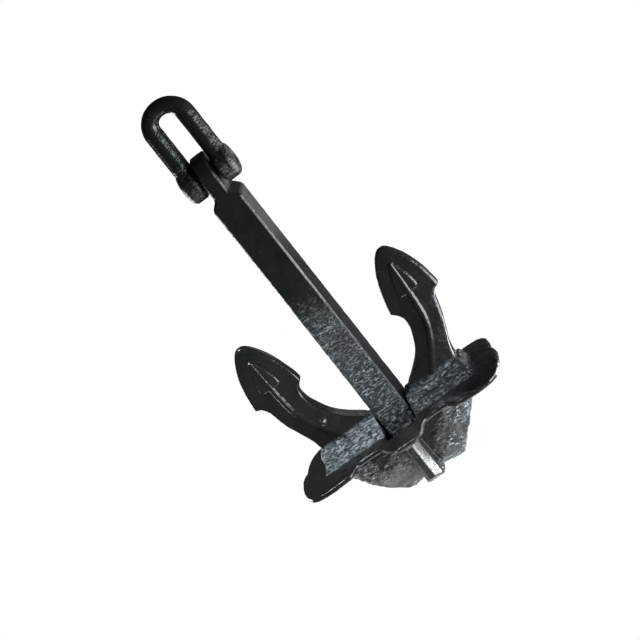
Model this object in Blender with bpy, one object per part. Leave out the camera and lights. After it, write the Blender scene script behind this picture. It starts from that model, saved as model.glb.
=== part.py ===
"""Stockless ship's anchor: a hinged head with two arrowhead flukes, a shank and its anchor shackle.

Frame: metres, +Z up along the shank towards the shackle, +X along both hinge pins, +Y to the back.
The origin is the inside top of the shackle's bow, where the anchor cable's end link pulls, so the
whole anchor hangs below it. The front and the back of the anchor are alike.
"""
import math

import bmesh
import bpy
from mathutils import Vector

# Clearances
TOUCH_GAP = 0.0003              # between pieces that rest on each other
RUNNING_GAP = 0.0006            # round a pin that something turns on

# Anchor shackle
BAR_RADIUS = 0.030              # round bar of the bow
BOW_TOP_RADIUS = 0.0255         # the bar is a little thinner round the bow's end
LEG_X = 0.059                   # centre line of each leg
BEND_DROP = 0.030               # from the inside top of the bow down to where its bend starts
# The legs widen along Y towards the eyes: height above the pin, half-thickness along Y
LEG_SWELL = [(0.0, 0.045), (0.033, 0.042), (0.070, 0.033), (0.105, BAR_RADIUS)]
SHACKLE_PIN_Z = -0.222
EYE_RADIUS = 0.057
EYE_INNER_X = 0.032
EYE_OUTER_X = 0.091
EYE_CHAMFER = 0.012
SHACKLE_PIN_RADIUS = 0.026
SHACKLE_PIN_RECESS = 0.002
TAPER_PIN_X = 0.062
TAPER_PIN_THICK = 0.0075
TAPER_PIN_THIN = 0.0060
LEAD_PLUG_RADIUS = 0.011
LEAD_PLUG_LENGTH = 0.010

# Shank
SHANK_HALF_X = 0.0515
SHANK_HALF_Y = 0.067
NECK_HALF_X = 0.026
SHOULDER_Z = -0.315
SHANK_EDGE = 0.006              # chamfer along every edge

# Crown
CROWN_PIN_Z = -1.227
CROWN_PIN_RADIUS = 0.025
CROWN_PIN_HALF = 0.150
TILT_LIMIT = math.radians(45)
SLOT_HALF_X = 0.058
SLOT_ROOM = 0.003               # between the shank and the slot's ends at the tilt limit
CUT_BELOW_Z = -1.45             # cutters that open downward end here, clear of the crown
PLATE_TOP_Z = -1.175
PLATE_THICK = 0.017
PLATE_DROOP = 0.016             # how far the plate's long edges lie below its middle
PLATE_SPINE_X = 0.25            # half-length of the plate's middle line
LOBE_Y = 0.207
LIP_DIP = 0.017                 # extra drop of the lip that the shank comes down on
LIP_FLAT_X = 0.045
LIP_END_X = 0.085
BOSS_TOP_Z = -1.131
HOUSING_HALF_X = 0.241
HOUSING_SQUARENESS = 2.8        # 2 would be round
HOUSING_FLARE = 0.030           # how far the bowl widens from the pin's axis up to the plate
WEB_HALF_X = 0.010
WEB_FRONT_Y = 0.200
WEB_FOOT_Z = -1.380
KEEPER_X = 0.105
KEEPER_RADIUS = 0.017
KEEPER_BLIND_Y = -0.095
KEEPER_END_Y = 0.118

# The plate's outline on the right, from the middle of its front edge to the parting line at its end, and
# from there to the middle of its back edge: (x, y). The back half of the casting is drawn in a little.
PLATE_FRONT = [
    (0.000, -0.205), (0.022, -0.205), (LIP_FLAT_X, -0.204), (0.065, -0.187), (LIP_END_X, -0.168),
    (0.105, -0.163), (0.135, -0.162), (0.163, -0.164), (0.178, -0.175), (0.197, -0.197), (0.225, -0.205),
    (0.257, -LOBE_Y), (0.290, -0.207), (0.320, -0.202), (0.342, -0.188), (0.356, -0.162), (0.365, -0.120),
    (0.368, -0.075), (0.367, -0.040), (0.362, -0.018), (0.357, -0.003),
]
PLATE_BACK = [
    (0.351, 0.004), (0.350, 0.040), (0.345, 0.085), (0.337, 0.130), (0.326, 0.160), (0.309, 0.188),
    (0.287, 0.203), (0.257, LOBE_Y), (0.225, 0.205), (0.197, 0.197), (0.178, 0.178), (0.163, 0.165),
    (0.135, 0.163), (0.105, 0.164), (LIP_END_X, 0.168), (0.065, 0.187), (LIP_FLAT_X, 0.204), (0.022, 0.205),
    (0.000, 0.205),
]

# One arm and its palm, from tip to root: inner edge x, z; outer edge x, z; half-thickness at edge, at spine
ARM_STATIONS = [
    (0.260, -0.7155, 0.275, -0.7155, 0.009, 0.010),
    (0.246, -0.725, 0.288, -0.723, 0.012, 0.015),
    (0.228, -0.747, 0.306, -0.748, 0.015, 0.019),
    (0.211, -0.776, 0.322, -0.779, 0.017, 0.022),
    (0.197, -0.809, 0.334, -0.813, 0.018, 0.025),
    (0.185, -0.846, 0.342, -0.849, 0.019, 0.028),
    (0.176, -0.881, 0.347, -0.884, 0.020, 0.030),
    (0.172, -0.904, 0.349, -0.907, 0.020, 0.031),
    (0.188, -0.919, 0.329, -0.915, 0.021, 0.032),
    (0.197, -0.937, 0.318, -0.933, 0.022, 0.033),
    (0.196, -0.968, 0.309, -0.966, 0.026, 0.036),
    (0.181, -1.010, 0.298, -1.001, 0.030, 0.040),
    (0.156, -1.053, 0.281, -1.042, 0.031, 0.044),
    (0.119, -1.090, 0.263, -1.087, 0.032, 0.047),
    (0.080, -1.121, 0.256, -1.126, 0.033, 0.049),
    (0.060, -1.151, 0.256, -1.171, 0.033, 0.049),
]

# Bowl of the crown under the plate: x, half-depth along Y, depth below the pin's axis
HOUSING_STATIONS = [
    (0.012, 0.114, 0.160), (0.045, 0.124, 0.161), (0.085, 0.135, 0.162), (0.118, 0.136, 0.160),
    (0.142, 0.133, 0.146), (0.171, 0.124, 0.110), (0.203, 0.106, 0.062), (HOUSING_HALF_X, 0.080, 0.012),
]

PAINT = {
    "anchor_head": (0.030, 0.034, 0.034),
    "shank": (0.026, 0.029, 0.030),
    "crown_pin": (0.080, 0.080, 0.080),
    "crown_keeper": (0.090, 0.085, 0.080),
    "shackle_bow": (0.028, 0.032, 0.034),
    "shackle_pin": (0.045, 0.047, 0.050),
    "taper_pin": (0.100, 0.100, 0.100),
    "lead_plug": (0.200, 0.200, 0.210),
}


def paint(obj, key, roughness, metallic):
    """Give the object a Principled material of its own."""
    material = bpy.data.materials.new(obj.name)
    material.use_nodes = True
    shader = material.node_tree.nodes["Principled BSDF"]
    shader.inputs["Base Color"].default_value = (*PAINT[key], 1.0)
    shader.inputs["Roughness"].default_value = roughness
    shader.inputs["Metallic"].default_value = metallic
    obj.data.materials.clear()
    obj.data.materials.append(material)


def mesh_object(name, verts, faces):
    """A mesh object from points and faces, with every face turned outwards."""
    mesh = bpy.data.meshes.new(name)
    mesh.from_pydata([tuple(v) for v in verts], [], faces)
    bm = bmesh.new()
    bm.from_mesh(mesh)
    bmesh.ops.remove_doubles(bm, verts=bm.verts, dist=1e-6)
    bmesh.ops.recalc_face_normals(bm, faces=bm.faces)
    bm.to_mesh(mesh)
    bm.free()
    obj = bpy.data.objects.new(name, mesh)
    bpy.context.collection.objects.link(obj)
    return obj


def loft(name, rings):
    """A closed solid through rings of equal length, capped at both ends."""
    count = len(rings[0])
    verts = [p for ring in rings for p in ring]
    faces = []
    for r in range(len(rings) - 1):
        for i in range(count):
            j = (i + 1) % count
            faces.append((r * count + i, r * count + j, (r + 1) * count + j, (r + 1) * count + i))
    faces.append(tuple(range(count)))
    faces.append(tuple((len(rings) - 1) * count + i for i in range(count)))
    return mesh_object(name, verts, faces)


def prism_x(name, outline, half_x, centre_x=0.0):
    """An outline of (y, z) points drawn out along X."""
    return loft(name, [[(centre_x + side * half_x, y, z) for y, z in outline] for side in (-1, 1)])


def round_bar(name, start, end, radius, sides=32, end_radius=None, chamfer=0.0):
    """A round bar from start to end, with an optional taper and chamfered rims."""
    start, end = Vector(start), Vector(end)
    along = (end - start).normalized()
    side = along.orthogonal().normalized()
    up = along.cross(side)
    far = radius if end_radius is None else end_radius
    length = (end - start).length
    steps = [(0.0, radius), (length, far)]
    if chamfer:
        inner_steps = [(chamfer, radius), (length - chamfer, far)]
        steps = [(0.0, radius - chamfer)] + inner_steps + [(length, far - chamfer)]
    rings = []
    for distance, r in steps:
        centre = start + along * distance
        angles = [2 * math.pi * i / sides for i in range(sides)]
        rings.append([centre + r * (math.cos(a) * side + math.sin(a) * up) for a in angles])
    return loft(name, rings)


def apply_modifiers(obj):
    """Replace the object's mesh by what its modifiers make of it."""
    bpy.context.view_layer.update()
    evaluated = obj.evaluated_get(bpy.context.evaluated_depsgraph_get())
    mesh = bpy.data.meshes.new_from_object(evaluated)
    obj.modifiers.clear()
    obj.data = mesh


def combine(obj, others, operation):
    """Join the other solids into the object, cut them from it or keep what is common."""
    for other in others:
        modifier = obj.modifiers.new(operation.lower(), "BOOLEAN")
        modifier.operation = operation
        modifier.solver = "EXACT"
        modifier.object = other
    apply_modifiers(obj)
    for other in others:
        bpy.data.objects.remove(other, do_unlink=True)
    return obj


def finish_round(obj, degrees=35):
    """Shade the object smooth, with its real corners kept sharp."""
    obj.data.shade_smooth()
    obj.data.set_sharp_from_angle(angle=math.radians(degrees))


def set_origin(obj, point):
    """Move the object's origin to a point without moving its surface."""
    for vertex in obj.data.vertices:
        vertex.co -= Vector(point)
    obj.location = point


# Anchor shackle

def bow_path(steps):
    """Centre line of the bow from eye to eye, with its half-thickness in its own plane and along Y."""
    bend_z = -BEND_DROP
    left = [(-LEG_X, SHACKLE_PIN_Z + rise, BAR_RADIUS, deep) for rise, deep in LEG_SWELL]
    arc = []
    for i in range(steps + 1):
        angle = math.pi * (1 - i / steps)
        rise = math.sin(angle)
        radius = BAR_RADIUS + (BOW_TOP_RADIUS - BAR_RADIUS) * rise
        arc.append((LEG_X * math.cos(angle), bend_z + (BEND_DROP + BOW_TOP_RADIUS) * rise, radius, radius))
    right = [(-x, z, thick, deep) for x, z, thick, deep in reversed(left)]
    return left + arc + right


def build_shackle_bow():
    sides = 20
    path = bow_path(steps=18)
    rings = []
    for i, (x, z, thick, deep) in enumerate(path):
        before = path[max(i - 1, 0)]
        after = path[min(i + 1, len(path) - 1)]
        along = Vector((after[0] - before[0], 0, after[1] - before[1])).normalized()
        outward = Vector((-along.z, 0, along.x))
        ring = []
        for k in range(sides):
            angle = 2 * math.pi * k / sides
            point = Vector((x, 0, z)) + outward * thick * math.cos(angle)
            point.y = deep * math.sin(angle)
            ring.append(point)
        rings.append(ring)
    bow = loft("shackle_bow", rings)
    eyes = [round_bar("eye", (side * EYE_INNER_X, 0, SHACKLE_PIN_Z), (side * EYE_OUTER_X, 0, SHACKLE_PIN_Z),
                      EYE_RADIUS, sides=40, chamfer=EYE_CHAMFER) for side in (-1, 1)]
    combine(bow, eyes, "UNION")
    reach = EYE_OUTER_X + 0.02
    pin_hole = round_bar("pin_hole", (-reach, 0, SHACKLE_PIN_Z), (reach, 0, SHACKLE_PIN_Z),
                         SHACKLE_PIN_RADIUS + TOUCH_GAP)
    return combine(bow, [pin_hole, taper_hole(), counterbore(-1), counterbore(1)], "DIFFERENCE")


def taper_radius(y):
    """Radius of the taper pin where it crosses the plane at y."""
    span = EYE_RADIUS - LEAD_PLUG_LENGTH
    share = (y + span) / (2 * span)
    return TAPER_PIN_THIN + (TAPER_PIN_THICK - TAPER_PIN_THIN) * share


def taper_hole():
    """Cutter for the hole that the taper pin is driven through."""
    span = EYE_RADIUS - LEAD_PLUG_LENGTH + 0.004
    start, end = ((TAPER_PIN_X, y, SHACKLE_PIN_Z) for y in (-span, span))
    return round_bar("taper_hole", start, end, taper_radius(-span) + TOUCH_GAP, sides=16,
                     end_radius=taper_radius(span) + TOUCH_GAP)


def counterbore(side):
    """Cutter for the mouth of the taper pin's hole, which a lead plug fills."""
    inner = (TAPER_PIN_X, side * (EYE_RADIUS - LEAD_PLUG_LENGTH), SHACKLE_PIN_Z)
    outer = (TAPER_PIN_X, side * (EYE_RADIUS + 0.01), SHACKLE_PIN_Z)
    return round_bar("counterbore", inner, outer, LEAD_PLUG_RADIUS + TOUCH_GAP, sides=20)


def build_shackle_pin():
    end = EYE_OUTER_X - SHACKLE_PIN_RECESS
    pin = round_bar("shackle_pin", (-end, 0, SHACKLE_PIN_Z), (end, 0, SHACKLE_PIN_Z), SHACKLE_PIN_RADIUS,
                    chamfer=0.003)
    return combine(pin, [taper_hole()], "DIFFERENCE")


def build_taper_pin():
    span = EYE_RADIUS - LEAD_PLUG_LENGTH - TOUCH_GAP
    start, end = ((TAPER_PIN_X, y, SHACKLE_PIN_Z) for y in (-span, span))
    return round_bar("shackle_taper_pin", start, end, TAPER_PIN_THIN, sides=16, end_radius=TAPER_PIN_THICK)


def build_lead_plug(name, side):
    inner = (TAPER_PIN_X, side * (EYE_RADIUS - LEAD_PLUG_LENGTH + TOUCH_GAP), SHACKLE_PIN_Z)
    outer = (TAPER_PIN_X, side * (EYE_RADIUS - 0.0015), SHACKLE_PIN_Z)
    return round_bar(name, inner, outer, LEAD_PLUG_RADIUS, sides=20)


# Shank

def build_shank():
    """The front outline and the side outline are drawn through each other, and the corners chamfered."""
    neck_z = SHOULDER_Z + (SHANK_HALF_X - NECK_HALF_X)
    top = SHACKLE_PIN_Z + 0.1
    bottom = CROWN_PIN_Z - 0.1
    right = [(SHANK_HALF_X, bottom), (SHANK_HALF_X, SHOULDER_Z), (NECK_HALF_X, neck_z), (NECK_HALF_X, top)]
    front = right + [(-x, z) for x, z in reversed(right)]
    shank = loft("shank", [[(x, side * 0.1, z) for x, z in front] for side in (-1, 1)])
    steps = 16
    angles = [math.pi * i / steps for i in range(steps + 1)]
    upper = [(SHANK_HALF_Y * math.cos(a), SHACKLE_PIN_Z + SHANK_HALF_Y * math.sin(a)) for a in angles]
    lower = [(-y, SHACKLE_PIN_Z + CROWN_PIN_Z - z) for y, z in upper]
    combine(shank, [prism_x("side", upper + lower, 0.1)], "INTERSECT")
    bevel = shank.modifiers.new("edges", "BEVEL")
    bevel.width = SHANK_EDGE
    bevel.segments = 1
    bevel.limit_method = "ANGLE"
    bevel.angle_limit = math.radians(40)
    apply_modifiers(shank)
    holes = []
    for z, radius in ((SHACKLE_PIN_Z, SHACKLE_PIN_RADIUS), (CROWN_PIN_Z, CROWN_PIN_RADIUS)):
        holes.append(round_bar("pin_hole", (-0.1, 0, z), (0.1, 0, z), radius + RUNNING_GAP))
    return combine(shank, holes, "DIFFERENCE")


# Head

def plate_top(x, y):
    """Height of the plate's upper surface."""
    lip = min(max((LIP_END_X - abs(x)) / (LIP_END_X - LIP_FLAT_X), 0.0), 1.0)
    ramp = min(max((abs(y) - 0.10) / 0.10, 0.0), 1.0)
    return PLATE_TOP_Z - PLATE_DROOP * (y / LOBE_Y) ** 2 - LIP_DIP * lip * ramp


def plate_outline():
    right = PLATE_FRONT + PLATE_BACK
    left = [(-x, y) for x, y in reversed(right[1:-1])]
    return right + left


def build_plate():
    """Rings of points between the outline and a middle line, carried over a drooping surface."""
    outline = plate_outline()
    count = len(outline)
    shares = (1.0, 0.8, 0.6, 0.3, 0.0)
    verts = []
    for drop in (0.0, PLATE_THICK):
        for share in shares:
            for x, y in outline:
                middle_x = min(max(x, -PLATE_SPINE_X), PLATE_SPINE_X)
                ring_x = middle_x + (x - middle_x) * share
                verts.append((ring_x, y * share, plate_top(ring_x, y * share) - drop))
    layer = len(shares) * count
    faces = []
    for base in (0, layer):
        for ring in range(len(shares) - 1):
            for i in range(count):
                j = (i + 1) % count
                a = base + ring * count
                faces.append((a + i, a + j, a + count + j, a + count + i))
    faces += [(i, (i + 1) % count, layer + (i + 1) % count, layer + i) for i in range(count)]
    return mesh_object("anchor_head", verts, faces)


def build_housing():
    """The bowl under the plate that the crown pin lies in: sections along X, between round and square."""
    steps = 16
    top = PLATE_TOP_Z - 0.6 * PLATE_THICK
    stations = [(-x, y, z) for x, y, z in reversed(HOUSING_STATIONS)] + HOUSING_STATIONS
    rings = []
    for x, half_y, depth in stations:
        ring = [(x, half_y + HOUSING_FLARE, top)]
        for i in range(steps + 1):
            angle = math.pi * i / steps
            along_y, down = (math.copysign(abs(part) ** (2 / HOUSING_SQUARENESS), part)
                             for part in (math.cos(angle), math.sin(angle)))
            ring.append((x, half_y * along_y, CROWN_PIN_Z - depth * down))
        ring.append((x, -half_y - HOUSING_FLARE, top))
        rings.append(ring)
    return loft("housing", rings)


def build_boss(side):
    """The wedge-topped shoulder that an arm grows out of."""
    foot = PLATE_TOP_Z - 0.012
    inner = side * 0.050
    outer_foot, outer_top = side * 0.274, side * 0.264
    inner_ring = [(inner, -0.110, foot), (inner, 0.110, foot), (inner, 0.040, BOSS_TOP_Z),
                  (inner, -0.040, BOSS_TOP_Z)]
    outer_ring = [(outer_foot, -0.104, foot), (outer_foot, 0.104, foot), (outer_top, 0.037, BOSS_TOP_Z),
                  (outer_top, -0.037, BOSS_TOP_Z)]
    return loft("boss", [inner_ring, outer_ring])


def build_arm(side):
    """An arm and its arrowhead palm, ridged along the middle of both faces."""
    rings = []
    for inner_x, inner_z, outer_x, outer_z, edge, spine in ARM_STATIONS:
        middle_x, middle_z = (inner_x + outer_x) / 2, (inner_z + outer_z) / 2
        ring = [(inner_x, -edge, inner_z), (middle_x, -spine, middle_z), (outer_x, -edge, outer_z),
                (outer_x, edge, outer_z), (middle_x, spine, middle_z), (inner_x, edge, inner_z)]
        rings.append([(side * x, y, z) for x, y, z in ring])
    return loft("arm", rings)


def build_web(side):
    """The rib under the lip, with a flat foot that the crown stands on."""
    outline = [(WEB_FRONT_Y, -1.213), (WEB_FRONT_Y, -1.348), (0.128, WEB_FOOT_Z), (0.050, WEB_FOOT_Z),
               (0.050, -1.213)]
    return prism_x("web", [(side * y, z) for y, z in outline], WEB_HALF_X)


def slot_cutter():
    """The shank's room: straight down below the pin, and a wedge as wide as the tilt above it."""
    reach = SHANK_HALF_Y + SLOT_ROOM
    side_y = reach + 0.002
    corner_z = CROWN_PIN_Z - (reach * math.sqrt(2) - side_y)
    top = PLATE_TOP_Z + 0.10
    top_y = side_y + (top - corner_z) * math.tan(TILT_LIMIT)
    back = [(side_y, CUT_BELOW_Z), (side_y, corner_z), (top_y, top)]
    outline = back + [(-y, z) for y, z in reversed(back)]
    return prism_x("slot", outline, SLOT_HALF_X)


def pocket_cutter():
    """The crown pin's pocket, open at the bottom so that the pin goes in with the shank."""
    radius = CROWN_PIN_RADIUS + TOUCH_GAP
    half = CROWN_PIN_HALF + 0.001
    steps = 12
    arch = [(radius * math.cos(math.pi * i / steps), CROWN_PIN_Z + radius * math.sin(math.pi * i / steps))
            for i in range(steps + 1)]
    return prism_x("pocket", [(radius, CUT_BELOW_Z)] + arch + [(-radius, CUT_BELOW_Z)], half)


def keeper_axis_z():
    return CROWN_PIN_Z - CROWN_PIN_RADIUS - KEEPER_RADIUS - TOUCH_GAP


def keeper_hole(side):
    x, z = side * KEEPER_X, keeper_axis_z()
    start, end = ((x, y, z) for y in (KEEPER_BLIND_Y - TOUCH_GAP, 0.2))
    return round_bar("keeper_hole", start, end, KEEPER_RADIUS + TOUCH_GAP, sides=24)


def build_head():
    head = build_plate()
    additions = [build_housing()]
    for side in (-1, 1):
        additions += [build_boss(side), build_arm(side), build_web(side)]
    combine(head, additions, "UNION")
    cutters = [slot_cutter(), pocket_cutter(), keeper_hole(-1), keeper_hole(1)]
    return combine(head, cutters, "DIFFERENCE")


def build_crown_pin():
    return round_bar("crown_pin", (-CROWN_PIN_HALF, 0, CROWN_PIN_Z), (CROWN_PIN_HALF, 0, CROWN_PIN_Z),
                     CROWN_PIN_RADIUS, chamfer=0.003)


def build_keeper(name, side):
    x, z = side * KEEPER_X, keeper_axis_z()
    start, end = ((x, y, z) for y in (KEEPER_BLIND_Y, KEEPER_END_Y))
    return round_bar(name, start, end, KEEPER_RADIUS, sides=24, chamfer=0.002)


def main():
    for obj in list(bpy.data.objects):
        bpy.data.objects.remove(obj, do_unlink=True)
    shackle_axis = (0, 0, SHACKLE_PIN_Z)
    crown_axis = (0, 0, CROWN_PIN_Z)
    pieces = [
        (build_shackle_bow(), "shackle_bow", 0.35, 0.0, shackle_axis),
        (build_shackle_pin(), "shackle_pin", 0.40, 0.0, shackle_axis),
        (build_taper_pin(), "taper_pin", 0.45, 0.9, shackle_axis),
        (build_lead_plug("lead_plug_front", -1), "lead_plug", 0.60, 0.7, shackle_axis),
        (build_lead_plug("lead_plug_back", 1), "lead_plug", 0.60, 0.7, shackle_axis),
        (build_shank(), "shank", 0.35, 0.0, shackle_axis),
        (build_head(), "anchor_head", 0.40, 0.0, crown_axis),
        (build_crown_pin(), "crown_pin", 0.50, 0.9, crown_axis),
        (build_keeper("crown_keeper_left", -1), "crown_keeper", 0.50, 0.9, crown_axis),
        (build_keeper("crown_keeper_right", 1), "crown_keeper", 0.50, 0.9, crown_axis),
    ]
    for obj, key, roughness, metallic, axis_point in pieces:
        paint(obj, key, roughness, metallic)
        set_origin(obj, axis_point)
        finish_round(obj)


main()
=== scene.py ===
"""The looks of a stockless ship's anchor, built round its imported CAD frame.

Everything is in metres in the part's own frame: +Z up the shank, +X along both hinge pins, +Y back.
The head, shank and shackle bow are rebuilt as dense cast or forged skins; pins are turned pieces.
"""

import math

import bpy
import numpy as np
from mathutils import Euler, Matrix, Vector


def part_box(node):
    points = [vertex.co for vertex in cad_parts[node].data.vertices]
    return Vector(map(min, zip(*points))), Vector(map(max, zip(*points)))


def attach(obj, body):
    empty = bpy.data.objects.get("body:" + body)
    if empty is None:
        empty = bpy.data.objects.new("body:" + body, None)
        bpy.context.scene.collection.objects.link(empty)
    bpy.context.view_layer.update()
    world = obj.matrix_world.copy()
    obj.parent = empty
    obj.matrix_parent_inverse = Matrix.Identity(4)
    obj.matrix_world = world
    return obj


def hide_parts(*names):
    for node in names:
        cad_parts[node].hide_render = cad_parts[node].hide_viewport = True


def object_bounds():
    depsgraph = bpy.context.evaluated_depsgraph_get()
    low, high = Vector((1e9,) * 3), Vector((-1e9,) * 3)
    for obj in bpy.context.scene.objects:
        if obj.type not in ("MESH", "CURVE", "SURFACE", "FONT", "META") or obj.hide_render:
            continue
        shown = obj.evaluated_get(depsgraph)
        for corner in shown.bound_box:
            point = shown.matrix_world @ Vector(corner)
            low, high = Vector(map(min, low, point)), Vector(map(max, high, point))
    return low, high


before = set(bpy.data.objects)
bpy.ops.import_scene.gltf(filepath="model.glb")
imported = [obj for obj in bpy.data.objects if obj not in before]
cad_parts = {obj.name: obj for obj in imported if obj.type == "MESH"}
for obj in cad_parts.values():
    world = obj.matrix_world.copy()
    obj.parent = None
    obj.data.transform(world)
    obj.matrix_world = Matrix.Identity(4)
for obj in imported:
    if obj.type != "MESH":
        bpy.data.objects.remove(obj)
CAD_LOW, CAD_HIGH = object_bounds()

HEAD_VOXEL = 0.0021
BAR_VOXEL = 0.0020
BOW_VOXEL_SHARE = 0.85          # of BAR_VOXEL
BOX_SKIN = 1e-5                 # how far inside the CAD's box every skin stays

# Shackle, as in the CAD
BAR_RADIUS = 0.030              # round bar of the bow
BOW_TOP_RADIUS = 0.0255         # the bar is a little thinner round the bow's end
LEG_X = 0.059                   # centre line of each leg
BEND_DROP = 0.030               # from the inside top of the bow down to where its bend starts
# The bar's half-depth at heights over the pin
LEG_SWELL = [(0.0, 0.045), (0.033, 0.042), (0.070, 0.033), (0.105, BAR_RADIUS)]
EYE_RADIUS = 0.057
EYE_INNER_X = 0.032
EYE_OUTER_X = 0.091
EYE_CHAMFER = 0.012
EYE_FACE_GAP = 0.0002           # the eyes' faces stay this far inside the CAD's

# Head, as in the CAD
SLOT_HALF_X = 0.058
SLOT_REACH = 0.070              # half the shank's depth, with its room at the tilt limit
SLOT_SIDE_Y = SLOT_REACH + 0.002
CUT_BELOW_Z = -1.45             # cutters that open downward end here, clear of the crown
CUT_ABOVE_PLATE = 0.10          # how far the slot's cutter runs on above the plate
PLATE_TOP_Z = -1.175
PLATE_THICK = 0.017
PLATE_DROOP = 0.016             # how far the plate's long edges lie below its middle
PLATE_SPINE_X = 0.25            # half-length of the plate's middle line
LOBE_Y = 0.207
LIP_DIP = 0.017                 # extra drop of the lip that the shank comes down on
LIP_FLAT_X = 0.045
LIP_END_X = 0.085
BOSS_TOP_Z = -1.131
HOUSING_SQUARENESS = 2.8        # 2 would be round
WEB_TOP_Z = -1.213
WEB_FOOT_Z = -1.380

# Right half of the plate's outline, front and back; its front notch has a steeper side than the CAD's
PLATE_FRONT = [
    (0.000, -0.205), (0.022, -0.205), (0.045, -0.204), (0.065, -0.187), (0.085, -0.168),
    (0.105, -0.163), (0.135, -0.162), (0.163, -0.164), (0.168, -0.166), (0.196, -0.200), (0.225, -0.206),
    (0.257, -0.207), (0.290, -0.207), (0.320, -0.202), (0.342, -0.188), (0.356, -0.162), (0.365, -0.120),
    (0.368, -0.075), (0.367, -0.040), (0.362, -0.018), (0.357, -0.003),
]
PLATE_BACK = [
    (0.351, 0.004), (0.350, 0.040), (0.345, 0.085), (0.337, 0.130), (0.326, 0.160), (0.309, 0.188),
    (0.287, 0.203), (0.257, 0.207), (0.225, 0.205), (0.197, 0.197), (0.178, 0.178), (0.163, 0.165),
    (0.135, 0.163), (0.105, 0.164), (0.085, 0.168), (0.065, 0.187), (0.045, 0.204), (0.022, 0.205),
    (0.000, 0.205),
]
PLATE_SHARES = (0.004, 0.25, 0.5, 0.7, 0.85, 1.0)   # rings from the middle line out to the rim
RIM_INSET = 0.004                                   # of the outermost of those rings
# Rings round the rim: inset from the outline, depth under the upper surface
RIM_RINGS = [(0.0008, 0.0008), (0.0, 0.0025), (0.0, PLATE_THICK - 0.0050), (0.0015, PLATE_THICK - 0.0015)]

# One arm from tip to root: inner edge x, z; outer edge x, z; half-thickness at the edge, at the spine
ARM_STATIONS = [
    (0.260, -0.7155, 0.275, -0.7155, 0.009, 0.010),
    (0.246, -0.725, 0.288, -0.723, 0.012, 0.015),
    (0.228, -0.747, 0.306, -0.748, 0.015, 0.019),
    (0.211, -0.776, 0.322, -0.779, 0.017, 0.022),
    (0.197, -0.809, 0.334, -0.813, 0.018, 0.025),
    (0.185, -0.846, 0.342, -0.849, 0.019, 0.028),
    (0.176, -0.881, 0.347, -0.884, 0.020, 0.030),
    (0.172, -0.904, 0.349, -0.907, 0.020, 0.031),
    (0.188, -0.919, 0.329, -0.915, 0.021, 0.032),
    (0.197, -0.937, 0.318, -0.933, 0.022, 0.033),
    (0.196, -0.968, 0.309, -0.966, 0.026, 0.036),
    (0.181, -1.010, 0.298, -1.001, 0.030, 0.040),
    (0.156, -1.053, 0.281, -1.042, 0.031, 0.044),
    (0.119, -1.090, 0.263, -1.087, 0.032, 0.047),
    (0.080, -1.121, 0.256, -1.126, 0.033, 0.049),
    (0.060, -1.151, 0.256, -1.171, 0.033, 0.049),
]
BARB_STATION = 7                # the palm ends here, and the arm proper starts at the next one
ARM_EDGE_RADIUS = 0.0065
LEAF_TOP_Z = -0.768             # raised leaf on the palm: its point, its foot, its half-width at the foot
LEAF_FOOT_Z = -0.874
LEAF_HALF = 0.034
LEAF_CORNER = 0.010
LEAF_SHARE = 0.62               # of the rib's height
RIB_HALF = 0.0075
RIB_THIN = 0.8                  # share of RIB_HALF that is left at the leaf's point
RIB_FOOT_Z = -1.123
RELIEF = 0.0050                 # how far the rib stands proud of the palm
RELIEF_SLOPE = 0.0023           # half the width of the leaf's and rib's sloping sides
NUB = (-0.198, -1.049)          # x and z of a casting lump on the left arm's front rib
NUB_HEIGHT = 0.006
NUB_RADIUS = 0.009

# Bowl under the plate: x, half-depth along Y, depth under the pin's axis
HOUSING_STATIONS = [
    (0.012, 0.114, 0.160), (0.045, 0.124, 0.161), (0.085, 0.135, 0.162), (0.118, 0.136, 0.160),
    (0.142, 0.133, 0.146), (0.171, 0.124, 0.110), (0.203, 0.106, 0.062), (0.241, 0.080, 0.012),
]
# Shoulder boss, with a groove along each slope: share of the way out to its foot, share of its height
BOSS_FOOT_Z = PLATE_TOP_Z - 0.012
BOSS_TOP_SHARE = 0.35
BOSS_PROFILE = [
    (1.00, 0.0), (0.97, 0.10), (0.80, 0.44), (0.740, 0.54), (0.71, 0.40), (0.665, 0.34), (0.63, 0.48),
    (0.60, 0.62), (0.45, 0.95), (0.40, 1.0), (BOSS_TOP_SHARE, 1.0),
]
# x, half-depth at the foot and at the top, share of the height
BOSS_STATIONS = [(0.050, 0.110, 0.040, 1.0), (0.264, 0.104, 0.037, 1.0), (0.271, 0.100, 0.034, 0.80)]
# Where the boss's groove runs across Y, for the painted shade along it
GROOVE_Y = 0.0765
GROOVE_HALF = 0.004
# Web under the lip, thicker towards its root than the CAD's: y, half-thickness, lower edge
WEB_STATIONS = [
    (0.200, 0.0100, -1.348), (0.160, 0.0280, -1.366), (0.152, 0.0285, -1.3693), (0.128, 0.0290, WEB_FOOT_Z),
    (0.050, 0.0290, WEB_FOOT_Z),
]
# Wall at each end of the slot, as y and z
SLOT_WALL = [(0.095, -1.240), (0.1225, -1.240), (0.134, -1.212), (0.142, -1.195), (0.095, -1.195)]
SLOT_WALL_OVERLAP = 0.008       # how far it runs past the slot's sides
# Planes on one quarter of the crown's underside, mirrored for the others: direction, depth
LUMP_PLANES = [
    (0.20, 0.95, -0.22, 0.009), (0.10, 0.66, -0.74, 0.011), (0.52, 0.40, -0.75, 0.012),
    (0.78, 0.60, -0.20, 0.012), (0.93, 0.05, -0.36, 0.010), (0.72, 0.12, -0.68, 0.020),
]

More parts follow.
